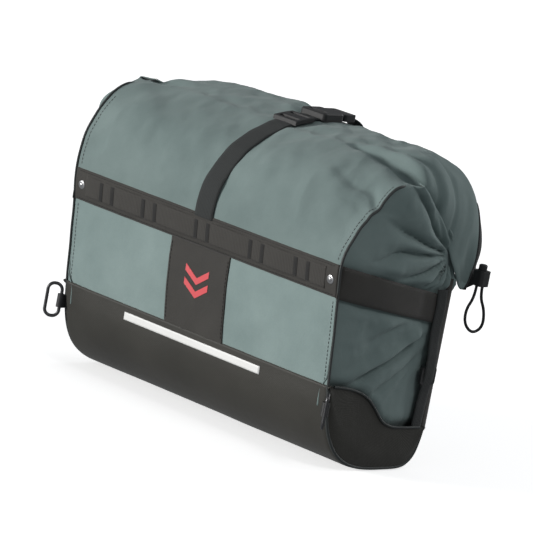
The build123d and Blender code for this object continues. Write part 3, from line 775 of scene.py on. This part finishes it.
def make_hull():
    trough = hull_grid()
    dressed_sheet("hull_trough", trough, hull_coat, 2.6, "bag", "hull", "hull_shell", flip=True)
    for side, end in ENDS:
        grid = hull_cap_grid(side, trough)
        dressed_sheet(f"hull_{end}_cap", grid, hull_coat, 2.4, "bag", "hull", f"hull_cap_{end}",
                      flip=side < 0)
        # raised binding over the cap's upper edge, and piping over its seam with the trough
        top = grid[-1][4:-2] + np.array([side * 1.0, 0, 0])
        binding = tube(f"hull_{end}_binding", top[::4] * MM, 1.5 * MM, piping_black)
        dress(binding, "bag", "piping")
        seam = grid[0] + np.array([side * -0.5, 0, 0])
        seam[:, 2] = np.maximum(seam[:, 2], 2.2)
        bead = tube(f"hull_{end}_seam", seam[::3] * MM, 1.9 * MM, piping_black)
        dress(bead, "bag", "piping")
    return trough


# ---------------------------------------------------------------- band, patch, piping and badge
TACKS = [centre + shift for centre in (-167, -92, 0, 92, 167) for shift in (-10, 10)]
WEBBING_END = 206
RIVET_X = 213
PATCH_HALF = 50
STRIPE_HALF = 117


def webbing_rise(x, z):
    """The lash webbing lies flat at each bar tack and stands off a little between them."""
    spots = [-WEBBING_END] + TACKS + [WEBBING_END]
    for left, right in zip(spots, spots[1:]):
        if left <= x <= right:
            share = (x - left) / (right - left)
            return 1.7 + min(1.5, (right - left) * 0.03) * math.sin(math.pi * share) ** 0.7
    return 1.9


def make_band():
    z_values = np.linspace(BAND_FOOT, BAND_HEAD, 14)
    x_values = np.linspace(-HALF + 1, HALF - 1, 160)

    def crown(x, z):
        return 1.1 + 0.5 * math.sin(math.pi * (z - z_values[0]) / (z_values[-1] - z_values[0]))

    dressed_sheet("lash_band_cloth", face_grid(x_values, z_values, crown), black_fabric, 1.6,
                  "bag", "black_fabric", "lash_band")
    strip_x = np.linspace(1 - WEBBING_END, WEBBING_END - 1, 330)
    strip_z = np.linspace(BAND_FOOT + 6.5, BAND_HEAD - 6, 9)
    dressed_sheet("lash_webbing_strip", face_grid(strip_x, strip_z, webbing_rise), lash, 1.3,
                  "bag", "webbing", "lash_webbing")


def block_on_face(x, z, wide, high, rise, thick):
    """Eight corners of a small block that lies on the outer face."""
    corners = []
    for lift in (rise, rise + thick):
        for dx, dz in ((-1, -1), (1, -1), (1, 1), (-1, 1)):
            corners.append(on_face(x + dx * wide / 2, z + dz * high / 2, lift)[0])
    return corners


BLOCK_FACES = [(3, 2, 1, 0), (4, 5, 6, 7), (0, 1, 5, 4), (1, 2, 6, 5), (2, 3, 7, 6), (3, 0, 4, 7)]


def blocks(name, corner_sets, material, bevel=0.0):
    verts, faces = [], []
    for corners in corner_sets:
        start = len(verts)
        verts += [np.asarray(c) * MM for c in corners]
        faces += [tuple(start + i for i in face) for face in BLOCK_FACES]
    thing = make_object(name, verts, faces, material, smooth=False)
    if bevel:
        edge = thing.modifiers.new("edge", "BEVEL")
        edge.width = bevel
        edge.segments = 2
        apply_modifiers(thing)
    return thing


def make_tacks():
    """Bar tacks: a dense zigzag of thread across the webbing at each spot, made near black and wide so that
    they also paint the shadow at the ends of the lash loops.
    """
    sets = []
    for x in TACKS:
        for k in range(20):
            z = BAND_MIDDLE - 10.5 + k * 21 / 19
            # 6 mm wide, wider than the thread alone, for the painted shadow at each loop end
            sets.append(block_on_face(x, z, 6.0, 0.85, 1.7, 0.8))
    tacks = blocks("bar_tack_thread_and_painted_shadow", sets, black_thread_and_painted_shadow, bevel=0.12 * MM)
    dress(tacks, "bag", "webbing", "bar_tacks")


def dome_verts(centre, normal, radius, high, spokes=24):
    """A domed round head standing on a surface."""
    up = np.asarray(normal)
    side = np.cross(up, [0, 0, 1.0])
    side /= np.linalg.norm(side)
    third = np.cross(up, side)
    verts, faces = [], []
    profile = [(1.0, 0.0), (1.0, 0.3), (0.93, 0.5), (0.75, 0.75), (0.5, 0.92), (0.22, 1.0)]
    for size, rise in profile:
        for k in range(spokes):
            a = 2 * math.pi * k / spokes
            around = side * math.cos(a) + third * math.sin(a)
            verts.append(centre + up * rise * high + around * radius * size)
    for r in range(len(profile) - 1):
        for k in range(spokes):
            a, b = r * spokes + k, r * spokes + (k + 1) % spokes
            faces.append((a, b, b + spokes, a + spokes))
    faces.append(tuple(range((len(profile) - 1) * spokes, len(profile) * spokes)))
    return verts, faces


def make_rivets():
    verts, faces = [], []
    for x in (-RIVET_X, RIVET_X):
        centre, normal = on_face(x, BAND_MIDDLE, 1.6)
        for radius, high in ((5.2, 0.9), (3.0, 2.0)):
            v, f = dome_verts(centre, normal, radius, high)
            faces += [tuple(i + len(verts) for i in face) for face in f]
            verts += [p * MM for p in v]
    heads = make_object("rivet_heads", verts, faces, steel)
    dress(heads, "bag", "steel", "band_rivets")


def make_patch():
    x_values = np.linspace(-PATCH_HALF, PATCH_HALF, 50)
    z_values = np.linspace(HULL_RIM - 2, BAND_FOOT + 3, 50)
    dressed_sheet("centre_patch_cloth", face_grid(x_values, z_values, 1.0), black_fabric, 1.2,
                  "bag", "black_fabric", "centre_patch")


def make_badge():
    """Two plain chevrons printed in red."""
    verts, faces = [], []
    for lift in (142, 158):
        outline = []
        for x in np.linspace(-20, 20, 21):
            outline.append((x, lift + 13 * abs(x) / 20, lift + 8 + 13 * abs(x) / 20))
        start = len(verts)
        for x, low, high in outline:
            for z in (low, high):
                for rise in (1.0, 1.5):
                    verts.append(on_face(x, z, rise)[0] * MM)
        count = len(outline)
        for k in range(count - 1):
            a, b = start + 4 * k, start + 4 * (k + 1)
            faces += [(a + 1, b + 1, b + 3, a + 3), (a, a + 1, a + 3, a + 2)[::-1],
                      (a, b, b + 1, a + 1), (a + 3, b + 3, b + 2, a + 2), (a + 2, b + 2, b, a)]
    chevrons = make_object("badge_chevrons", verts, faces, red_print, smooth=False)
    dress(chevrons, "bag", "badge_red", "badge")


def make_piping():
    for side, end, column in ((1, "front", COLUMNS - 1), (-1, "rear", 0)):
        route = cover[:FACE_ROWS, column] + cover_normal[:FACE_ROWS, column] * 0.6
        route = route + np.array([side * 1.2, 0, 0])
        # its upper end runs down into the seam
        sink = smooth_step(FACE_ROWS - 12, FACE_ROWS - 1, np.arange(FACE_ROWS))[:, None]
        route = route - cover_normal[:FACE_ROWS, column] * 4.5 * sink - np.array([side * 3.0, 0, 0]) * sink
        radius = (1.7 if side > 0 else 1.4) * MM
        rope = tube(f"piping_{end}_rope", route[::3] * MM, radius, piping_black)
        dress(rope, "bag", "piping", f"piping_{end}")


def hull_face_point(x, z, trough, lift):
    """A point on the hull's outer face."""
    c = int(np.argmin(np.abs(trough[0, :, 0] - x)))
    column = trough[: HULL_ROWS // 2, c]
    heights = column[::-1, 2]
    y = np.interp(z, heights, column[::-1, 1])
    return np.array([x, y - lift, z])


def make_stripe(trough):
    """A plain reflective stripe where a maker would put its name."""
    x_values = np.linspace(-STRIPE_HALF, STRIPE_HALF, 60)
    z_values = np.linspace(84, 93.5, 6)
    grid = np.array([[hull_face_point(x, z, trough, 0.7) for x in x_values] for z in z_values])
    dressed_sheet("hull_stripe", grid, white_print, 0.6, "bag", "reflective_white", "reflective_stripe")


# ---------------------------------------------------------------- webbing straps
def make_gusset_bands():
    for side, end in ENDS:
        steps = 40
        share = np.linspace(0, 1, steps)[:, None]
        start, finish = np.array([0, -118.5, 222.5]), np.array([0, 58.0, 189.5])
        centre = start + (finish - start) * share
        bow = np.sin(np.pi * share[:, 0]) * 1.2
        lifted = 5.5 if side > 0 else 7.5
        # it stands out over the gusset
        swell = np.sin(np.pi * np.clip(share[:, 0] * 1.25, 0, 1)) ** 0.7
        centre[:, 0] = side * (HALF + 0.6 + bow + lifted * swell)
        tall = 19.0 - 2.0 * share[:, 0]
        across = np.stack([np.zeros(steps), np.zeros(steps), tall], 1)
        name = f"gusset_band_{end}"
        band = ribbon(name + "_cloth", centre, across, [side, 0.0, 0.0], 1.6, black_fabric)
        dress(band, "bag", "black_fabric", name)


def make_end_straps():
    for side, end in ENDS:
        route = even_curve([(227.6, 52, 214), (228.2, 53, 196), (227.8, 53, 160), (230.6, 53, 134),
                            (230.6, 53, 112), (227.8, 53, 88), (227.4, 52, 64), (226.4, 52, 46)], 60)
        route[:, 0] *= side
        strap = ribbon(f"end_strap_{end}_webbing", route, [0, 8.0 * side, 0], [side, 0.0, 0.0], 1.5, webbing)
        dress(strap, "bag", "webbing", f"end_strap_{end}")


def make_outer_strap():
    """The tie-down strap, from the band over the dome to the buckle."""
    middle = (COLUMNS - 1) / 2
    heights = cover[:FACE_ROWS, COLUMNS // 2, 2]
    first = np.interp(BAND_HEAD - 4, heights, np.arange(FACE_ROWS))
    socket_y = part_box("buckle_socket")[0].y / MM
    last = FACE_ROWS - 1 + np.interp(socket_y + 3, cover[FACE_ROWS - 1:, COLUMNS // 2, 1],
                                     np.arange(HOOD_ROWS))
    rows = np.linspace(first, last, 120)
    found = [on_cover(r, middle, 0.5) for r in rows]
    centre = np.array([p for p, n in found])
    out = np.array([n for p, n in found])
    strap = ribbon("tie_strap_webbing", centre, [15.0, 0, 0], out, 1.9, webbing)
    across_fold(strap, "webbing", "strap_lower", "strap_upper")


def make_inner_strap():
    """The bike-side strap, down to the pin of its anchor."""
    route = even_curve([(74, 363.4), (84, 362.0), (97, 354.5), (112, 332), (119, 305), (119.5, 282)], 60)
    centre = np.stack([np.zeros(60), route[:, 0], route[:, 1]], 1)
    ahead = np.gradient(centre, axis=0)
    ahead /= np.linalg.norm(ahead, axis=1, keepdims=True)
    out = -np.cross(ahead, [1.0, 0, 0])
    across = [14.0, 0, 0]
    strap = ribbon("bike_side_webbing", centre - out * 0.9, across, out, 1.9, webbing)
    # the end of the strap wraps round the anchor's pin
    turns = np.linspace(math.radians(90), math.radians(-235), 40)
    loop = np.stack([np.zeros(40), 119 + 3.1 * np.cos(turns), 277 + 3.1 * np.sin(turns)], 1)
    out_loop = np.stack([np.zeros(40), np.cos(turns), np.sin(turns)], 1)
    wrap = ribbon("bike_side_wrap", loop - out_loop * 0.7, across, out_loop, 1.5, webbing)
    dress(strap, "tie_strap", "webbing", "inner_strap")
    dress(wrap, "tie_strap", "webbing")


# ---------------------------------------------------------------- back
COLLAR_PROFILE = [(70.5, 222), (72, 230), (86, 253), (101, 275), (110, 292), (110.5, 303), (104.5, 316),
                  (97, 326), (90, 335)]


def make_collar(inner_edges):
    """The inner wall of the mouth; its ends turn forward and join the gussets' free edges."""
    rows, cols, turn = 60, 221, 16
    profile = even_curve(COLLAR_PROFILE, rows)
    share = np.linspace(0, 1, rows)[:, None]
    x = np.linspace(-HALF + 10, HALF - 10, cols)
    wall = np.zeros((rows, cols, 3))
    # towards the ends the collar follows the hem down and leans less, so that the ears cover it
    foot_y, foot_z = COLLAR_PROFILE[0]
    half_hem = cover[-1, COLUMNS // 2:]
    hem_height = np.interp(np.abs(x), half_hem[:, 0], half_hem[:, 2])
    low = np.clip((hem_height + 15 - foot_z) / (COLLAR_PROFILE[-1][1] - foot_z), 0.25, 1)
    lean = 1 - 0.32 * smooth_step(160, HALF - 4, np.abs(x))
    wall[..., 0] = x[None, :]
    wall[..., 1] = foot_y + (profile[:, :1] - foot_y) * lean[None, :]
    wall[..., 2] = foot_z + (profile[:, 1:] - foot_z) * low[None, :]
    relief = 1.7 * noise(x[None, :] / 34, share * 5, 71) + 1.8 * smooth_step(0.35, 0.95, share) * np.sin(
        x[None, :] / 7.5 + 1.8 * noise(x[None, :] / 40, share * 2, 73))
    relief = relief * (1 - smooth_step(190, HALF - 10, np.abs(x[None, :])))
    wall = wall - normals_of(wall) * relief[..., None]
    parts = [wall]
    q = np.linspace(0, 1, turn)
    for side in (1, -1):
        edge = inner_edges[side]
        run = run_along(edge)
        aim = np.stack([np.interp(np.linspace(0, run[-1], rows), run, edge[:, k]) for k in range(3)], 1)
        start = wall[:, -1 if side > 0 else 0]
        corner = start + np.array([side * 8.0, 0, 0])
        corner[:, 1] -= 4
        end = aim - np.array([side * 2.0, 0, 0])
        flap = np.zeros((rows, turn, 3))
        for k, t in enumerate(q):
            flap[:, k] = (1 - t) ** 2 * start + 2 * t * (1 - t) * corner + t**2 * end
        slack = 5.0 * np.sin(np.pi * q)[None, :] * share + 1.5 * noise(q[None, :] * 5, share * 6, 75)
        flap[..., 0] -= side * slack * np.sin(np.pi * q)[None, :]
        parts = parts + [flap[:, 1:]] if side > 0 else [flap[:, :0:-1]] + parts
    grid = np.concatenate(parts, 1)
    cloth = dressed_sheet("collar_cloth", grid, fabric, 1.6, "bag", "grey_fabric", "inner_collar", flip=True)


def make_back_panel():
    """A stiffened panel whose edges wrap round the corners on to the gussets."""
    reach = HALF - 3.0
    turned = [(HALF + 1.6, 60), (HALF + 1.6, 64), (HALF + 1.4, 68), (HALF + 0.2, 70.6)]
    flat = [(x, BACK / MM) for x in np.linspace(reach, -reach, 150)]
    path = turned + flat + [(-x, y) for x, y in turned[::-1]]
    z = np.linspace(46, 226, 70)
    grid = np.zeros((len(z), len(path), 3))
    grid[..., :2] = np.array(path)[None]
    grid[..., 2] = z[:, None]
    # the cloth stands off the board a little, but not round its edge or where the plate is bolted
    plate_low, plate_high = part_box("adapter_plate")
    size = np.abs(grid[..., 0])
    in_plate = (1 - smooth_step(plate_high.x / MM, plate_high.x / MM + 14, size)) * (
        smooth_step(plate_low.z / MM - 12, plate_low.z / MM, grid[..., 2])
        * (1 - smooth_step(plate_high.z / MM, plate_high.z / MM + 6, grid[..., 2])))
    rim = smooth_step(0, 20, reach - size) * smooth_step(50, 66, grid[..., 2]) * (
        1 - smooth_step(208, 224, grid[..., 2]))
    grid[..., 1] += np.where(size <= reach, -0.4 + 3.6 * rim * (1 - in_plate), 0)
    dressed_sheet("back_panel_cloth", grid, black_fabric, 2.0, "bag", "black_fabric", "back_panel")


# ---------------------------------------------------------------- stitches
def stitch_row(points, normals, length=3.2, gap=1.5, radius=0.32):
    """Short raised stitches along a line on a surface, as verts and faces."""
    points, normals = np.asarray(points), np.asarray(normals)
    run = run_along(points)
    verts, faces = [], []
    at = 1.0
    while at + length < run[-1]:
        rows = []
        for share, size, rise in ((0, 0.4, 0.0), (0.2, 1, 0.8), (0.8, 1, 0.8), (1, 0.4, 0.0)):
            d = at + share * length
            p = np.array([np.interp(d, run, points[:, k]) for k in range(3)])
            n = np.array([np.interp(d, run, normals[:, k]) for k in range(3)])
            rows.append((p, n / np.linalg.norm(n), size, rise))
        ahead = rows[-1][0] - rows[0][0]
        ahead /= np.linalg.norm(ahead)
        start = len(verts)
        for p, n, size, rise in rows:
            side = np.cross(ahead, n)
            for k in range(6):
                a = 2 * math.pi * k / 6
                around = side * math.cos(a) + n * math.sin(a)
                verts.append(p + n * rise * radius + around * radius * size)
        for r in range(3):
            for k in range(6):
                a, b = start + r * 6 + k, start + r * 6 + (k + 1) % 6
                faces.append((a, b, b + 6, a + 6))
        faces.append(tuple(start + k for k in range(6))[::-1])
        faces.append(tuple(start + 18 + k for k in range(6)))
        at += length + gap
    return verts, faces


def stitches(name, rows, material):
    verts, faces = [], []
    for points, normals in rows:
        v, f = stitch_row(points, normals)
        faces += [tuple(i + len(verts) for i in face) for face in f]
        verts += [p * MM for p in v]
    return make_object(name, verts, faces, material)


def face_line(x_values, z_values, lift):
    found = [on_face(x, z, lift) for x, z in zip(x_values, z_values)]
    return [p for p, n in found], [n for p, n in found]


def make_stitches():
    x = np.linspace(-219, 219, 150)
    low, high = BAND_FOOT, BAND_HEAD
    rows = [face_line(x, np.full(150, z), 1.75) for z in (low + 2.6, high - 2.6)]
    edge = np.linspace(HULL_RIM + 4, low - 1, 40)
    for side in (-47.5, 47.5):
        rows.append(face_line(np.full(40, side), edge, 1.15))
    dress(stitches("black_stitches", rows, black_thread_and_painted_shadow), "bag", "black_fabric")
    rows = []
    for side in (-1, 1):
        z = np.linspace(high + 4, 332, 60)
        rows.append(face_line(np.full(60, side * (HALF - 6)), z, 0.2))
        z = np.linspace(HULL_RIM + 4, low - 3, 40)
        rows.append(face_line(np.full(40, side * (HALF - 6)), z, 0.2))
    dress(stitches("grey_stitches", rows, thread), "bag", "grey_fabric")


# ---------------------------------------------------------------- drawcord
def make_cord():
    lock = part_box("cord_lock_barrel")
    x0 = (lock[0].x + lock[1].x) / 2
    y0 = (lock[0].y + lock[1].y) / 2
    z0 = lock[0].z
    route = [(0, -5, 0), (0, -5, -14), (-2, -13, -29), (0, -13, -46), (2, 1, -57), (3, 16, -49),
             (2, 14, -29), (0, 5, -14), (0, 5, 0)]
    points = [(x0 + a * MM, y0 + b * MM, z0 + c * MM) for a, b, c in route]
    cord = tube("drawcord", points, 1.75 * MM, cord_black)
    dress(cord, "hood", "cord", "drawcord_loop")


def finish_cad_nodes():
    """CAD pieces whose shape is right only get their finish."""
    finishes = {
        plastic: ("end_slide_front", "end_slide_rear", "ring_keeper_front", "ring_keeper_rear",
                  "strap_adjuster", "buckle_socket", "buckle_plug", "strap_anchor", "tube_hook_front",
                  "tube_hook_rear", "latch_base", "latch_lever", "cord_lock_barrel", "cord_lock_button"),
        steel: ("strap_anchor_pin", "plate_screws", "plate_washers", "plate_nuts", "latch_shaft",
                "cord_lock_spring"),
        dark_steel: ("corner_ring_front", "corner_ring_rear"),
        plate_coat: ("adapter_plate",),
        board: ("back_stiffener", "base_stiffener"),
    }
    for material, names in finishes.items():
        for name in names:
            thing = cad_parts[name]
            for slot in thing.material_slots:
                slot.material = material


make_cover()
make_hem()
gusset_grids = {side: make_gusset(side, end) for side, end in ENDS}
trough = make_hull()
make_band()
make_tacks()
make_rivets()
make_patch()
make_badge()
make_piping()
make_stripe(trough)
make_gusset_bands()
make_end_straps()
make_outer_strap()
make_inner_strap()
make_collar({side: grid[grid[:, -1, 2] > 222][:, -1] for side, grid in gusset_grids.items()})
make_back_panel()
make_stitches()
make_cord()
finish_cad_nodes()


# ---------------------------------------------------------------- camera, light and floor
VIEW_BACK = Vector((0.6849, -0.7046, 0.1853)).normalized()
VIEW_RIGHT = Vector((0.6803, 0.7096, 0.1838))
VIEW_UP = VIEW_BACK.cross(VIEW_RIGHT).normalized()
VIEW_RIGHT = VIEW_UP.cross(VIEW_BACK).normalized()
AIM = Vector((0.0, -0.005, 0.180))
DISTANCE = 5.2
camera_data = bpy.data.cameras.new("camera")
camera_data.lens = 300
camera_data.sensor_width = 36
camera_data.clip_end = 200
camera = bpy.data.objects.new("camera", camera_data)
bpy.context.scene.collection.objects.link(camera)
turn = Matrix((VIEW_RIGHT, VIEW_UP, VIEW_BACK)).transposed()
camera.matrix_world = Matrix.Translation(AIM + VIEW_BACK * DISTANCE) @ turn.to_4x4()
bpy.context.scene.camera = camera

world = bpy.data.worlds.new("studio")
bpy.context.scene.world = world
world.use_nodes = True
background = world.node_tree.nodes["Background"].inputs
background["Color"].default_value = (0.92, 0.96, 1.0, 1)
background["Strength"].default_value = 0.24


def sun(name, towards, strength, softness, colour=(1, 1, 1)):
    """A broad, far light that comes from the given direction."""
    data = bpy.data.lights.new(name, "SUN")
    data.energy = strength
    data.angle = math.radians(softness)
    data.color = colour
    lamp = bpy.data.objects.new(name, data)
    bpy.context.scene.collection.objects.link(lamp)
    lamp.rotation_mode = "QUATERNION"
    lamp.rotation_quaternion = Vector(towards).to_track_quat("Z", "Y")
    return lamp


sun("back", (0.1, 0.95, 0.3), 1.1, 40)
sun("side", (0.70, -0.10, 0.70), 0.5, 16)
sun("key", (-0.50, -0.86, 0.15), 3.15, 16, (1.0, 0.99, 0.97))

floor_material, _, floor_shader = new_material("floor", (0.88, 0.88, 0.88), 0.9)
floor_shader.inputs["Emission Color"].default_value = (1, 1, 1, 1)
floor_shader.inputs["Emission Strength"].default_value = 0.62
FLOOR_HALF, FLOOR_Z = 60.0, -0.0005
floor_corners = [(FLOOR_HALF * x, FLOOR_HALF * y, FLOOR_Z) for x, y in ((-1, -1), (1, -1), (1, 1), (-1, 1))]
floor = make_object("floor", floor_corners, [(0, 1, 2, 3)], floor_material, smooth=False)
floor.visible_diffuse = False
floor.visible_glossy = False
bpy.context.scene.view_settings.view_transform = "Standard"
